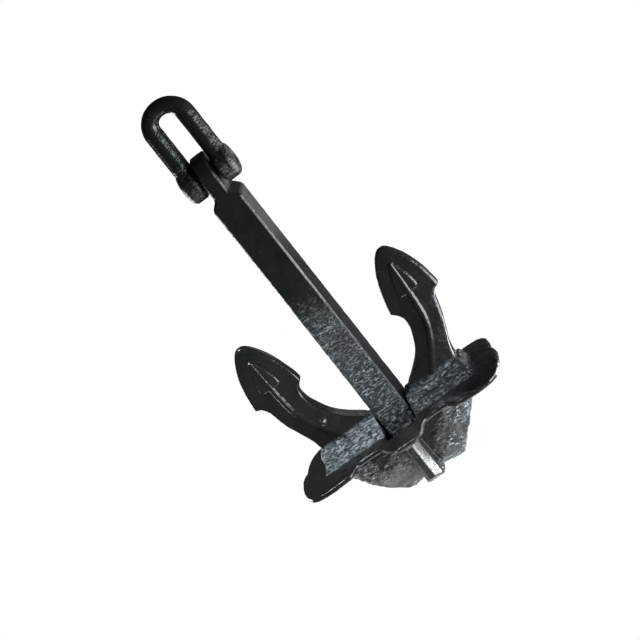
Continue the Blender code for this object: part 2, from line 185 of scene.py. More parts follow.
# Unevenness of the skins, in layers: height, size across, seed, octaves, stretch
EVEN = (1, 1, 1)
HEAD_SKIN = [(0.00040, 0.020, 11, 3, EVEN), (0.00018, 0.0075, 23, 2, EVEN)]
BOSS_SKIN = [(0.0006, 0.012, 31, 3, EVEN), (0.0003, 0.0060, 37, 1, (0.5, 1, 1))]
LUMP_SKIN = [(0.0014, 0.070, 40, 1, EVEN), (0.0008, 0.030, 41, 3, EVEN)]
RAGGED_SKIN = [(0.0027, 0.014, 43, 3, (1, 1, 1.5)), (0.0010, 0.0060, 47, 1, EVEN)]
PLATE_SKIN = [(0.0006, 0.022, 53, 3, EVEN)]
SHANK_SKIN = [(0.0003, 0.035, 61, 2, EVEN), (0.0002, 0.009, 67, 2, EVEN)]
SHANK_LOWER_SKIN = [(0.0005, 0.012, 71, 3, EVEN)]
BOW_SKIN = [(0.0005, 0.022, 81, 2, EVEN), (0.00018, 0.008, 83, 2, EVEN)]
RAGGED_PATCHES = (1.0, 0.055, 91, 2, (1, 1, 0.8))

# How rough and how dusty the head's paint is, zone by zone, with painted sheen on the left boss
ARM_ROUGH = 0.05
BOSS_ROUGH = 0.85
WEB_ROUGH = 0.12
PLATE_ROUGH = 0.06
LUMP_ROUGH = 0.20               # of the crown's underside
RAGGED_ROUGH = 0.80             # more of it where the underside is ragged
BOSS_DUST_AND_SHEEN_LEFT = 0.72           # the left boss is lighter: dust, and above the right boss's level, painted sheen
BOSS_DUST_RIGHT = 0.28
WEB_DUST = 0.30
LUMP_DUST = 0.04
RAGGED_DUST = 0.26

# Room round the pins in the holes of the visible skins
SHANK_HOLE_ROOM = 0.0012
PIN_ROOM = 0.0005
KEEPER_ROOM = 0.0006
PLUG_ROOM = 0.0004
STEP_ROOM = 0.0003
SHARP_ANGLE = math.radians(50)  # edges of the shackle pin that stay crisp


# ---------------------------------------------------------------- numbers and noise

def smoothstep(low, high, value):
    t = np.clip((np.asarray(value, float) - low) / (high - low), 0.0, 1.0)
    return t * t * (3 - 2 * t)


def lattice(ix, iy, iz, seed):
    """A fixed pseudo-random number from -1 to 1 for each whole-number point."""
    h = (ix * 374761393 + iy * 668265263 + iz * 1103515245 + seed * 2246822519) & 0xFFFFFFFF
    h = ((h ^ (h >> 13)) * 1274126177) & 0xFFFFFFFF
    h = ((h ^ (h >> 15)) * 2246822519) & 0xFFFFFFFF
    return (h ^ (h >> 16)).astype(float) / 0xFFFFFFFF * 2 - 1


def noise(points, size, seed):
    """Smooth value noise with lumps about size across."""
    scaled = points / size + 1000.0
    cell = np.floor(scaled).astype(np.int64)
    t = scaled - cell
    t = t * t * t * (t * (t * 6 - 15) + 10)
    total = np.zeros(len(points))
    for dx in (0, 1):
        wx = t[:, 0] if dx else 1 - t[:, 0]
        for dy in (0, 1):
            wy = t[:, 1] if dy else 1 - t[:, 1]
            for dz in (0, 1):
                wz = t[:, 2] if dz else 1 - t[:, 2]
                total += wx * wy * wz * lattice(cell[:, 0] + dx, cell[:, 1] + dy, cell[:, 2] + dz, seed)
    return total


def rumple(points, layers):
    """Heights of several layers of noise, each of them at its size, half of it, and so on."""
    total = np.zeros(len(points))
    for height, size, seed, octaves, stretch in layers:
        layer = np.zeros(len(points))
        for k in range(octaves):
            layer += noise(points * stretch, size / 2 ** k, seed + k) / 2 ** k
        total += height * layer
    return total


def spline(points, per_step):
    """A Catmull-Rom curve through rows of numbers, with both ends kept."""
    rows = np.asarray(points, float)
    padded = np.vstack([2 * rows[0] - rows[1], rows, 2 * rows[-1] - rows[-2]])
    out = []
    for i in range(len(rows) - 1):
        a, b, c, d = padded[i:i + 4]
        for t in np.arange(per_step) / per_step:
            out.append(0.5 * (2 * b + (c - a) * t + (2 * a - 5 * b + 4 * c - d) * t ** 2
                              + (3 * b - a - 3 * c + d) * t ** 3))
    out.append(rows[-1])
    return np.array(out)


# ---------------------------------------------------------------- mesh helpers

def points_of(obj):
    co = np.zeros(len(obj.data.vertices) * 3)
    obj.data.vertices.foreach_get("co", co)
    return co.reshape(-1, 3)


def normals_of(obj):
    nor = np.zeros(len(obj.data.vertices) * 3, np.float32)
    obj.data.vertex_normals.foreach_get("vector", nor)
    return nor.reshape(-1, 3).astype(float)


def set_points(obj, points):
    obj.data.vertices.foreach_set("co", points.astype(np.float32).ravel())
    obj.data.update()


def set_mask(obj, name, values):
    layer = obj.data.attributes.new(name, "FLOAT", "POINT")
    layer.data.foreach_set("value", np.asarray(values, np.float32))


def mesh_object(name, verts, faces):
    mesh = bpy.data.meshes.new(name)
    mesh.from_pydata([tuple(v) for v in verts], [], faces)
    mesh.validate()
    obj = bpy.data.objects.new(name, mesh)
    bpy.context.scene.collection.objects.link(obj)
    return obj


def face_outwards(obj):
    """Turn a closed mesh the right way out."""
    mesh = obj.data
    corners = points_of(obj)
    mesh.calc_loop_triangles()
    tris = np.zeros(len(mesh.loop_triangles) * 3, np.int64)
    mesh.loop_triangles.foreach_get("vertices", tris)
    a, b, c = (corners[tris.reshape(-1, 3)[:, k]] for k in range(3))
    volume = np.einsum("ij,ij->i", a, np.cross(b, c)).sum()
    if volume < 0:
        mesh.flip_normals()
    return obj


def loft(name, rings):
    """A closed solid through rings of equal length, capped at both ends."""
    rings = np.asarray(rings, float)
    layers, count = rings.shape[:2]
    faces = [tuple(range(count - 1, -1, -1))]
    for r in range(layers - 1):
        for i in range(count):
            j = (i + 1) % count
            faces.append((r * count + i, r * count + j, (r + 1) * count + j, (r + 1) * count + i))
    faces.append(tuple((layers - 1) * count + i for i in range(count)))
    return face_outwards(mesh_object(name, rings.reshape(-1, 3), faces))


def turned(name, centre, axis, profile, sides):
    """A round piece: profile is (distance along the axis, radius) from one end to the other."""
    centre, axis = np.array(centre, float), np.array(axis, float)
    first = np.array((0.0, 0.0, 1.0)) if abs(axis[2]) < 0.5 else np.array((1.0, 0.0, 0.0))
    second = np.cross(axis, first)
    turns = 2 * math.pi * np.arange(sides) / sides
    rim = np.cos(turns)[:, None] * first + np.sin(turns)[:, None] * second
    return loft(name, [centre + axis * along + rim * radius for along, radius in profile])


def prism_x(name, outline, half_x):
    """A prism along X with its outline given as y and z."""
    return loft(name, [[(x, y, z) for y, z in outline] for x in (-half_x, half_x)])


def apply_modifiers(obj):
    bpy.context.view_layer.update()
    evaluated = obj.evaluated_get(bpy.context.evaluated_depsgraph_get())
    mesh = bpy.data.meshes.new_from_object(evaluated)
    old = obj.data
    obj.modifiers.clear()
    obj.data = mesh
    bpy.data.meshes.remove(old)


def join(name, objects):
    """One object holding all the solids, which may overlap."""
    verts, faces, start = [], [], 0
    for obj in objects:
        verts.append(points_of(obj))
        faces += [tuple(start + v for v in polygon.vertices) for polygon in obj.data.polygons]
        start += len(obj.data.vertices)
        bpy.data.objects.remove(obj, do_unlink=True)
    return mesh_object(name, np.vstack(verts), faces)


def remesh(obj, size):
    """A new even skin round everything in the object."""
    modifier = obj.modifiers.new("skin", "REMESH")
    modifier.mode = "VOXEL"
    modifier.voxel_size = size
    modifier.adaptivity = 0.0
    apply_modifiers(obj)


def smooth(obj, rounds):
    modifier = obj.modifiers.new("smooth", "SMOOTH")
    modifier.factor = 0.5
    modifier.iterations = rounds
    apply_modifiers(obj)


def cut(obj, cutters):
    for cutter in cutters:
        modifier = obj.modifiers.new("cut", "BOOLEAN")
        modifier.operation = "DIFFERENCE"
        modifier.solver = "EXACT"
        modifier.object = cutter
        apply_modifiers(obj)
        bpy.data.objects.remove(cutter, do_unlink=True)


def keep_inside(points):
    """No point may lie past the CAD's box."""
    return np.clip(points, np.array(CAD_LOW) + BOX_SKIN, np.array(CAD_HIGH) - BOX_SKIN)


def move_skin(obj, heights):
    """Push an object's skin out along its normals."""
    points = points_of(obj) + normals_of(obj) * heights[:, None]
    set_points(obj, keep_inside(points))


def copy_of(node, name):
    """A free copy of a CAD node's mesh, as a start for its finer skin."""
    obj = bpy.data.objects.new(name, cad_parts[node].data.copy())
    obj.data.materials.clear()
    bpy.context.scene.collection.objects.link(obj)
    return obj


def middle(node):
    low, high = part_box(node)
    return (low + high) / 2


def radius_of(node):
    """Radius of a round node that lies along X or Y."""
    low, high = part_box(node)
    return (high.z - low.z) / 2


# ---------------------------------------------------------------- head

def plate_top(x, y):
    """Height of the plate's upper surface."""
    lip = 1 - smoothstep(LIP_FLAT_X, LIP_END_X, np.abs(x))
    ramp = smoothstep(0.10, 0.20, np.abs(y))
    return PLATE_TOP_Z - PLATE_DROOP * (y / LOBE_Y) ** 2 - LIP_DIP * lip * ramp


def build_plate():
    """Rings of points between the outline and a middle line, with a rounded rim."""
    right = PLATE_FRONT + PLATE_BACK
    left = [(-x, y) for x, y in reversed(right[1:-1])]
    coarse = np.array(right + left + [right[0]])
    steps = np.linspace(0, 1, 5)[:-1]
    outline = np.array([a + (b - a) * t for a, b in zip(coarse[:-1], coarse[1:]) for t in steps])
    outline = (np.roll(outline, 1, 0) + 2 * outline + np.roll(outline, -1, 0)) / 4
    tangent = np.roll(outline, -1, 0) - np.roll(outline, 1, 0)
    normal = np.stack([tangent[:, 1], -tangent[:, 0]], 1)
    normal /= np.linalg.norm(normal, axis=1)[:, None]
    inner = outline - normal * RIM_INSET
    middle_x = np.clip(inner[:, 0], -PLATE_SPINE_X, PLATE_SPINE_X)

    def at(ring, drop):
        z = plate_top(ring[:, 0], ring[:, 1]) - drop
        return np.column_stack([ring, z])

    def shrunk(share):
        return np.column_stack([middle_x + (inner[:, 0] - middle_x) * share, inner[:, 1] * share])

    rings = [at(shrunk(share), 0.0) for share in PLATE_SHARES]
    rings += [at(outline - normal * inset, drop) for inset, drop in RIM_RINGS]
    rings += [at(shrunk(share), PLATE_THICK) for share in reversed(PLATE_SHARES)]
    return loft("plate", rings)


def build_housing():
    """The bowl under the plate that the crown pin lies in."""
    steps = 40
    top = PLATE_TOP_Z - 0.6 * PLATE_THICK
    half = spline(HOUSING_STATIONS, 6)
    stations = np.vstack([half[::-1] * (-1, 1, 1), half])
    axis_z = middle("crown_pin").z
    rings = []
    for x, half_y, depth in stations:
        ring = [(x, half_y, top)]
        for i in range(steps + 1):
            angle = math.pi * i / steps
            along_y, down = (math.copysign(abs(part) ** (2 / HOUSING_SQUARENESS), part)
                             for part in (math.cos(angle), math.sin(angle)))
            ring.append((x, half_y * along_y, axis_z - depth * down))
        ring.append((x, -half_y, top))
        rings.append(ring)
    return loft("housing", rings)


def build_boss(side):
    """The grooved shoulder that an arm grows out of."""
    rings = []
    for x, foot_y, top_y, lift in BOSS_STATIONS:
        half = []
        for out, up in BOSS_PROFILE:
            t = (out - BOSS_TOP_SHARE) / (1 - BOSS_TOP_SHARE)
            half.append((top_y + (foot_y - top_y) * t, BOSS_FOOT_Z + (BOSS_TOP_Z - BOSS_FOOT_Z) * up * lift))
        rings.append([(side * x, y, z) for y, z in half] + [(side * x, -y, z) for y, z in reversed(half)])
    return loft("boss", rings)


def arm_stations():
    """The arm's stations drawn out finely, with the barb's corner kept."""
    return np.vstack([spline(ARM_STATIONS[:BARB_STATION + 1], 9), spline(ARM_STATIONS[BARB_STATION + 1:], 9)])


def build_arm(side):
    """An arm and palm with rounded edges, ridged along the middle of both faces."""
    rings = []
    for inner_x, inner_z, outer_x, outer_z, edge, spine in arm_stations():
        inner, outer = np.array([inner_x, inner_z]), np.array([outer_x, outer_z])
        width = np.linalg.norm(outer - inner)
        corner = min(ARM_EDGE_RADIUS, 0.45 * edge)
        flat = np.linspace(-1, 1, 49)
        u = np.sign(flat) * (1 - (1 - np.abs(flat)) ** 1.25)
        inside = 0.5 * width * (1 - np.abs(u))
        height = edge + (spine - edge) * (1 - np.abs(u)) ** 0.9
        drop = np.clip(1 - inside / corner, 0, 1)
        height -= corner * (1 - np.sqrt(1 - drop ** 2))
        line = inner + (outer - inner) * ((u + 1) / 2)[:, None]
        front = [(side * x, -h, z) for (x, z), h in zip(line, height)]
        back = [(side * x, h, z) for (x, z), h in zip(line[::-1], height[::-1])]
        rings.append(front + back)
    return loft("arm", rings)


def arm_relief(points, normals):
    """Height of the mid-rib and of the palm's raised leaf over the arms' broad faces."""
    stations = arm_stations()
    line = np.column_stack([(stations[:, 0] + stations[:, 2]) / 2, (stations[:, 1] + stations[:, 3]) / 2])
    line = np.vstack([line[:1] + (0.0, 0.02), line])
    place = np.column_stack([np.abs(points[:, 0]), points[:, 2]])
    away = np.full(len(points), 1.0)
    for a, b in zip(line[:-1], line[1:]):
        step = b - a
        t = np.clip((place - a) @ step / max(step @ step, 1e-12), 0, 1)
        away = np.minimum(away, np.linalg.norm(place - a - t[:, None] * step, axis=1))
    z = points[:, 2]
    below_point = smoothstep(LEAF_TOP_Z + 0.003, LEAF_TOP_Z - 0.003, z)
    thin_half = RIB_HALF * RIB_THIN
    rib_half = RIB_HALF * (RIB_THIN + (1 - RIB_THIN) * smoothstep(LEAF_TOP_Z, LEAF_FOOT_Z, z))
    rib = 1 - smoothstep(rib_half - RELIEF_SLOPE, rib_half + RELIEF_SLOPE, away)
    rib = rib * smoothstep(RIB_FOOT_Z - 0.005, RIB_FOOT_Z + 0.005, z)
    t = np.clip((LEAF_TOP_Z - z) / (LEAF_TOP_Z - LEAF_FOOT_Z), 0, 1)
    leaf_half = thin_half + (LEAF_HALF - thin_half) * np.sin(0.5 * math.pi * t) ** 1.1
    corner = np.clip((away - (LEAF_HALF - LEAF_CORNER)) / LEAF_CORNER, 0, 1)
    foot_z = LEAF_FOOT_Z + LEAF_CORNER * (1 - np.sqrt(1 - corner ** 2))
    leaf = 1 - smoothstep(leaf_half - RELIEF_SLOPE, leaf_half + RELIEF_SLOPE, away)
    leaf = leaf * smoothstep(foot_z - RELIEF_SLOPE, foot_z + RELIEF_SLOPE, z)
    facing = smoothstep(0.60, 0.85, np.abs(normals[:, 1]))
    return RELIEF * np.maximum(rib, LEAF_SHARE * leaf) * below_point * facing


def build_web(side):
    """The rib under the lip, with the flat foot that the crown stands on."""
    rings = []
    for y, half_x, bottom in WEB_STATIONS:
        corners = ((-half_x, WEB_TOP_Z), (half_x, WEB_TOP_Z), (half_x, bottom), (-half_x, bottom))
        rings.append([(x, side * y, z) for x, z in corners])
    return loft("web", rings)


def build_slot_wall(side):
    """The thick wall that closes the slot's end off, just under the plate."""
    return prism_x("slot_wall", [(side * y, z) for y, z in SLOT_WALL], SLOT_HALF_X + SLOT_WALL_OVERLAP)


def head_cutters():
    """The shank's slot, the crown pin's pocket and the keepers' holes."""
    pin = middle("crown_pin")
    corner_z = pin.z - (SLOT_REACH * math.sqrt(2) - SLOT_SIDE_Y)
    top = PLATE_TOP_Z + CUT_ABOVE_PLATE
    back = [(SLOT_SIDE_Y, CUT_BELOW_Z), (SLOT_SIDE_Y, corner_z), (SLOT_SIDE_Y + top - corner_z, top)]
    slot = prism_x("slot", back + [(-y, z) for y, z in reversed(back)], SLOT_HALF_X)
    radius = radius_of("crown_pin") + PIN_ROOM
    turns = [math.pi * i / 24 for i in range(25)]
    arch = [(radius * math.cos(turn), pin.z + radius * math.sin(turn)) for turn in turns]
    pocket = prism_x("pocket", [(radius, CUT_BELOW_Z)] + arch + [(-radius, CUT_BELOW_Z)],
                     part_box("crown_pin")[1].x + 2 * PIN_ROOM)
    cutters = [slot, pocket]
    for node in ("crown_keeper_left", "crown_keeper_right"):
        low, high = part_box(node)
        centre = middle(node)
        radius = (high.x - low.x) / 2 + KEEPER_ROOM
        cutters.append(turned("keeper_hole", (centre.x, 0, centre.z), (0, 1, 0),
                              [(low.y - 0.0005, radius), (0.2, radius)], 40))
    return cutters


def plane_off(points, share, sign_x, sign_y):
    """Flatten a quarter of the crown's underside into planes, as if carved from a block."""
    for nx, ny, nz, depth in LUMP_PLANES:
        facing = np.array((nx * sign_x, ny * sign_y, nz))
        facing /= np.linalg.norm(facing)
        side = (points[:, 0] * sign_x > 0) & (points[:, 1] * sign_y > 0) & (share > 0.5)
        along = points @ facing
        beyond = np.maximum(along - (along[side].max() - depth), 0) * share * side
        points -= facing * beyond[:, None]


def head_zones(points):
    """How much each point belongs to each part of the head, from 0 to 1."""
    x, y, z = points.T
    ax, ay = np.abs(x), np.abs(y)
    underside_z = PLATE_TOP_Z - PLATE_THICK
    under = smoothstep(underside_z - 0.012, underside_z - 0.030, z)
    web = under * (1 - smoothstep(0.030, 0.036, ax)) * smoothstep(0.128, 0.140, ay)
    boss = smoothstep(-1.112, -1.130, z) * smoothstep(-1.189, -1.181, z) * (1 - smoothstep(0.274, 0.282, ax))
    inside = (ax < SLOT_HALF_X + 0.004) & (ay < 0.115) & (z < -1.165)
    inside |= (ay < 0.030) & (ax < 0.160) & (z < -1.195)
    patch = smoothstep(-0.25, 0.45, rumple(points, [RAGGED_PATCHES]) + 6 * (ax - 0.12))
    return {
        "web": web,
        "lump": under * (1 - web),
        "plate": (1 - under) * smoothstep(-1.150, -1.165, z),
        "boss": boss * (1 - smoothstep(0.108, 0.114, ay)),
        # Down to 0.2 along the boss's grooves: less dust and roughness there, as painted shade in the crease
        "painted_groove_shade": 1 - 0.8 * np.exp(-(((ay - GROOVE_Y) / GROOVE_HALF) ** 2)),
        "arms": smoothstep(-1.130, -1.090, z),
        "outside": np.where(inside, 0.0, 1.0),
        "ragged": np.clip(patch + smoothstep(-1.330, -1.372, z), 0, 1),
    }


def head_heights(points, zone):
    """Unevenness of the head's skin, with layers of its own on each zone."""
    heights = rumple(points, HEAD_SKIN)
    heights += zone["boss"] * rumple(points, BOSS_SKIN)
    heights += zone["lump"] * rumple(points, LUMP_SKIN)
    heights += zone["lump"] * zone["ragged"] * rumple(points, RAGGED_SKIN)
    heights += zone["plate"] * rumple(points, PLATE_SKIN)
    return heights * zone["outside"]


def mark_head(head, points, zone):
    """Masks that tell the paint where it is rough and where it goes lighter grey: dust, with painted sheen on
    the left boss and painted shade, by less grey, in the boss's grooves.
    """
    # The grooves' lower value is painted shade
    boss = zone["boss"] * zone["painted_groove_shade"]
    rough = ARM_ROUGH * zone["arms"] + BOSS_ROUGH * boss + WEB_ROUGH * zone["web"] + PLATE_ROUGH * zone["plate"]
    rough += zone["lump"] * (LUMP_ROUGH + RAGGED_ROUGH * zone["ragged"])
    # The left boss's higher value is painted sheen on top of its dust
    dust_and_sheen = boss * np.where(points[:, 0] < 0, BOSS_DUST_AND_SHEEN_LEFT, BOSS_DUST_RIGHT) + WEB_DUST * zone["web"]
    dust_and_sheen += zone["lump"] * (LUMP_DUST + RAGGED_DUST * zone["ragged"])
    set_mask(head, "rough", np.clip(rough, 0, 1))
    set_mask(head, "dust_and_sheen", np.clip(dust_and_sheen, 0, 1))


def build_head():
    """The cast head: plate, bowl, bosses, arms with their palms, webs and slot in one skin."""
    parts = [build_plate(), build_housing()]
    for side in (-1, 1):
        parts += [build_boss(side), build_arm(side), build_web(side), build_slot_wall(side)]
    head = join("cast_head", parts)
    remesh(head, HEAD_VOXEL)
    cut(head, head_cutters())
    remesh(head, HEAD_VOXEL)
    smooth(head, 2)
    points, normals = points_of(head), normals_of(head)
    points[:, 1] += np.sign(points[:, 1]) * arm_relief(points, normals)
    from_nub = np.hypot(points[:, 0] - NUB[0], points[:, 2] - NUB[1])
    points[:, 1] -= np.where(points[:, 1] < -0.02, NUB_HEIGHT * np.exp(-(from_nub / NUB_RADIUS) ** 2), 0.0)
    zone = head_zones(points)
    for sign_x in (-1, 1):
        for sign_y in (-1, 1):
            plane_off(points, zone["lump"], sign_x, sign_y)
    set_points(head, points)
    points += normals_of(head) * head_heights(points, zone)[:, None]
    set_points(head, keep_inside(points))
    mark_head(head, points, zone)
    return head


# ---------------------------------------------------------------- shank and shackle

def build_shank():
    """The CAD's shank with a forged skin, rough over its lower part."""
    shank = copy_of("shank", "forged_shank")
    remesh(shank, BAR_VOXEL)
    smooth(shank, 1)
    points = points_of(shank)
    lower = smoothstep(-0.50, -0.80, points[:, 2] + 0.10 * noise(points, 0.12, 5))
    move_skin(shank, rumple(points, SHANK_SKIN) + lower * rumple(points, SHANK_LOWER_SKIN))
    holes = []
    for node in ("shackle_pin", "crown_pin"):
        low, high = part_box(node)
        axis_z = (low.z + high.z) / 2
        radius = (high.z - low.z) / 2 + SHANK_HOLE_ROOM
        holes.append(turned("hole", (0, 0, axis_z), (1, 0, 0), [(-0.1, radius), (0.1, radius)], 72))
    cut(shank, holes)
    points, normals = points_of(shank), normals_of(shank)
    lower = smoothstep(-0.62, -0.98, points[:, 2] + 0.10 * noise(points, 0.09, 5))
    broad = smoothstep(0.5, 0.9, np.abs(normals[:, 1]))
    set_mask(shank, "rough", 0.08 + 0.80 * lower * broad)
    set_mask(shank, "dust_and_sheen", 0.20 * lower * broad)
    return shank


def bow_path(steps):
    """Centre line of the bow's bar with its half-thickness along X and Y."""
    legs = spline([(LEG_X, middle("shackle_pin").z + rise, BAR_RADIUS, deep) for rise, deep in LEG_SWELL], 5)
    arc = []
    for i in range(steps + 1):
        angle = math.pi * i / steps
        rise = math.sin(angle)
        radius = BAR_RADIUS + (BOW_TOP_RADIUS - BAR_RADIUS) * rise
        height = -BEND_DROP + (BEND_DROP + BOW_TOP_RADIUS) * rise
        arc.append((LEG_X * math.cos(angle), height, radius, radius))
    return np.vstack([legs, arc, (legs * (-1, 1, 1, 1))[::-1]])


def bow_bar():
    path = bow_path(60)
    turns = 2 * math.pi * np.arange(56) / 56
    along = np.gradient(path[:, :2], axis=0)
    along /= np.linalg.norm(along, axis=1)[:, None]
    rings = []
    for (x, z, thick, deep), (dx, dz) in zip(path, along):
        across = np.cos(turns) * thick
        rings.append(np.column_stack([x + dz * across, np.sin(turns) * deep, z - dx * across]))
    return loft("bar", rings)


def bow_eye(side, pin_z):
    """One eye of the bow, with its edges rounded rather than chamfered."""
    inner, outer = EYE_INNER_X + EYE_FACE_GAP, EYE_OUTER_X - EYE_FACE_GAP
    # In from the face, in from the full radius
    edge = [(0.0, EYE_CHAMFER), (EYE_CHAMFER * 0.3, EYE_CHAMFER * 0.62),
            (EYE_CHAMFER * 0.62, EYE_CHAMFER * 0.3), (EYE_CHAMFER, 0.0)]
    profile = [(inner + in_face, EYE_RADIUS - in_rim) for in_face, in_rim in edge]
    profile += [(outer - in_face, EYE_RADIUS - in_rim) for in_face, in_rim in reversed(edge)]
    return turned("eye", (0, 0, pin_z), (side, 0, 0), profile, 96)


def bow_cutters(pin_z):
    """The shackle pin's hole, and the taper pin's with its wider mouths for the lead."""
    radius = radius_of("shackle_pin") + PIN_ROOM
    plug_low, plug_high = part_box("lead_plug_front")
    back_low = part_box("lead_plug_back")[0]
    plug = middle("lead_plug_front")
    wide = (plug_high.x - plug_low.x) / 2 + PLUG_ROOM
    taper_low, taper_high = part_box("shackle_taper_pin")
    narrow = (taper_high.x - taper_low.x) / 2 + PLUG_ROOM
    front_step, back_step = plug_high.y + STEP_ROOM, back_low.y - STEP_ROOM
    taper_profile = [(-0.08, wide), (front_step, wide), (front_step, narrow),
                     (back_step, narrow), (back_step, wide), (0.08, wide)]
    return [turned("pin_hole", (0, 0, pin_z), (1, 0, 0), [(-0.12, radius), (0.12, radius)], 72),
            turned("taper_hole", (plug.x, 0, plug.z), (0, 1, 0), taper_profile, 40)]


def build_bow():
    pin_z = middle("shackle_pin").z
    bow = join("forged_bow", [bow_bar(), bow_eye(-1, pin_z), bow_eye(1, pin_z)])
    remesh(bow, BAR_VOXEL * BOW_VOXEL_SHARE)
    smooth(bow, 2)
    move_skin(bow, rumple(points_of(bow), BOW_SKIN))
    cut(bow, bow_cutters(pin_z))
    eye = 1 - smoothstep(0.06, 0.09, points_of(bow)[:, 2] - pin_z)
    set_mask(bow, "rough", 0.14 + 0.30 * eye)
    set_mask(bow, "dust_and_sheen", 0.05 * eye)
    return bow


def build_turned(node, name, axis, chamfer, sides=72):
    """A finer round piece in the place of a CAD one, between the same ends."""
    low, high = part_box(node)
    centre = middle(node)
    index = {"x": 0, "y": 1}[axis]
    radius = radius_of(node)
    start, end = low[index] - centre[index], high[index] - centre[index]
    direction = [0, 0, 0]
    direction[index] = 1
    profile = [(start, radius - chamfer), (start + chamfer * 0.3, radius - chamfer * 0.3),
               (start + chamfer, radius)]
    steps = 24
    profile += [(start + chamfer + (end - start - 2 * chamfer) * i / steps, radius) for i in range(1, steps)]
    profile += [(end - chamfer, radius), (end - chamfer * 0.3, radius - chamfer * 0.3),
                (end, radius - chamfer)]
    return turned(name, centre, direction, profile, sides)


# ---------------------------------------------------------------- materials

class Nodes:
    """Short names for adding nodes to a material."""

    def __init__(self, name):
        self.material = bpy.data.materials.new(name)
        self.material.use_nodes = True
        self.tree = self.material.node_tree
        self.shader = self.tree.nodes["Principled BSDF"]
        self.place = self.add("ShaderNodeTexCoord").outputs["Object"]

    def add(self, kind, **settings):
        node = self.tree.nodes.new(kind)
        for key, value in settings.items():
            setattr(node, key, value)
        return node

    def link(self, source, target):
        self.tree.links.new(source, target)

    def stretched(self, factors):
        """The place on the object, with each axis multiplied by its factor."""
        node = self.add("ShaderNodeVectorMath", operation="MULTIPLY")
        node.inputs[1].default_value = factors
        self.link(self.place, node.inputs[0])
        return node.outputs["Vector"]

    def noise(self, scale, detail=3.0, roughness=0.55, distortion=0.0, place=None):
        node = self.add("ShaderNodeTexNoise")
        node.inputs["Scale"].default_value = scale
        node.inputs["Detail"].default_value = detail
        node.inputs["Roughness"].default_value = roughness
        node.inputs["Distortion"].default_value = distortion
        self.link(place or self.place, node.inputs["Vector"])
        return node.outputs["Fac"]

    def mask(self, name):
        return self.add("ShaderNodeAttribute", attribute_name=name).outputs["Fac"]

    def remap(self, source, low, high, to_low=0.0, to_high=1.0):
        node = self.add("ShaderNodeMapRange", clamp=True)
        for key, value in zip(("From Min", "From Max", "To Min", "To Max"), (low, high, to_low, to_high)):
            node.inputs[key].default_value = value
        self.link(source, node.inputs["Value"])
        return node.outputs["Result"]

    def maths(self, operation, a, b):
        node = self.add("ShaderNodeMath", operation=operation)
        for socket, value in zip(node.inputs, (a, b)):
            if isinstance(value, (int, float)):
                socket.default_value = value
            else:
                self.link(value, socket)
        return node.outputs["Value"]

    def blend(self, amount, a, b):
        """A mix of two colours, each of them a tuple or another node's output."""
        node = self.add("ShaderNodeMix", data_type="RGBA")
        self.link(amount, node.inputs["Factor"])
        for socket, value in zip((node.inputs[6], node.inputs[7]), (a, b)):
            if isinstance(value, tuple):
                socket.default_value = (*value, 1.0)
            else:
                self.link(value, socket)
        return node.outputs[2]

    def bump(self, height, strength, distance, normal=None):
        node = self.add("ShaderNodeBump")
        node.inputs["Distance"].default_value = distance
        if isinstance(strength, (int, float)):
            node.inputs["Strength"].default_value = strength
        else:
            self.link(strength, node.inputs["Strength"])
        self.link(height, node.inputs["Height"])
        if normal is not None:
            self.link(normal, node.inputs["Normal"])
        return node.outputs["Normal"]


def black_paint(name, gloss=0.15, grit=1.0):
    """Thick black bituminous paint, flecked with grey where the metal under it is rough."""
    n = Nodes(name)
    rough, dust_and_sheen = n.mask("rough"), n.mask("dust_and_sheen")
    fine = n.noise(420, 2, 0.6)
    wrinkles = n.noise(105, 3, 0.62, 0.8, n.stretched((0.55, 1.0, 1.45)))

    blotch = n.remap(n.noise(11, 4, 0.6), 0.38, 0.66)
    clean = n.blend(blotch, (0.0175, 0.0155, 0.0168), (0.0088, 0.0108, 0.0100))
    mottle = n.remap(n.noise(95, 4, 0.7), 0.42, 0.60)
    # Lighter grey where the second mask is high: dust, with painted sheen on the left boss and painted shade,
    # by less grey, in the boss's grooves
    dust_and_sheen_grey = n.blend(mottle, (0.016, 0.018, 0.019), (0.060, 0.067, 0.071))
    specks = n.remap(n.maths("ADD", wrinkles, n.maths("MULTIPLY", dust_and_sheen, 0.12)), 0.565, 0.655)
    specks = n.maths("MULTIPLY", specks, n.remap(rough, 0.15, 1.0, 0.0, 0.95))
    colour = n.blend(specks, n.blend(dust_and_sheen, clean, dust_and_sheen_grey), (0.310, 0.350, 0.372))
    n.link(colour, n.shader.inputs["Base Color"])

    cloudy = n.remap(n.noise(30, 4, 0.6), 0.3, 0.7, gloss, gloss + 0.10)
    roughness = n.maths("ADD", cloudy, n.maths("MULTIPLY", dust_and_sheen, 0.20))
    roughness = n.maths("ADD", roughness, n.remap(fine, 0.3, 0.7, -0.03, 0.05))
    n.link(roughness, n.shader.inputs["Roughness"])
    n.shader.inputs["IOR"].default_value = 1.52

    peel = n.bump(n.noise(60, 3, 0.5), 0.10, 0.002)
    pit_strength = n.remap(rough, 0.0, 1.0, 0.02 * grit, 1.0 * grit)
    pits = n.bump(n.remap(wrinkles, 0.34, 0.66), pit_strength, 0.0034, peel)
    grain = n.bump(fine, n.remap(rough, 0.0, 1.0, 0.03 * grit, 0.12 * grit), 0.0008, pits)
    n.link(grain, n.shader.inputs["Normal"])
    return n.material


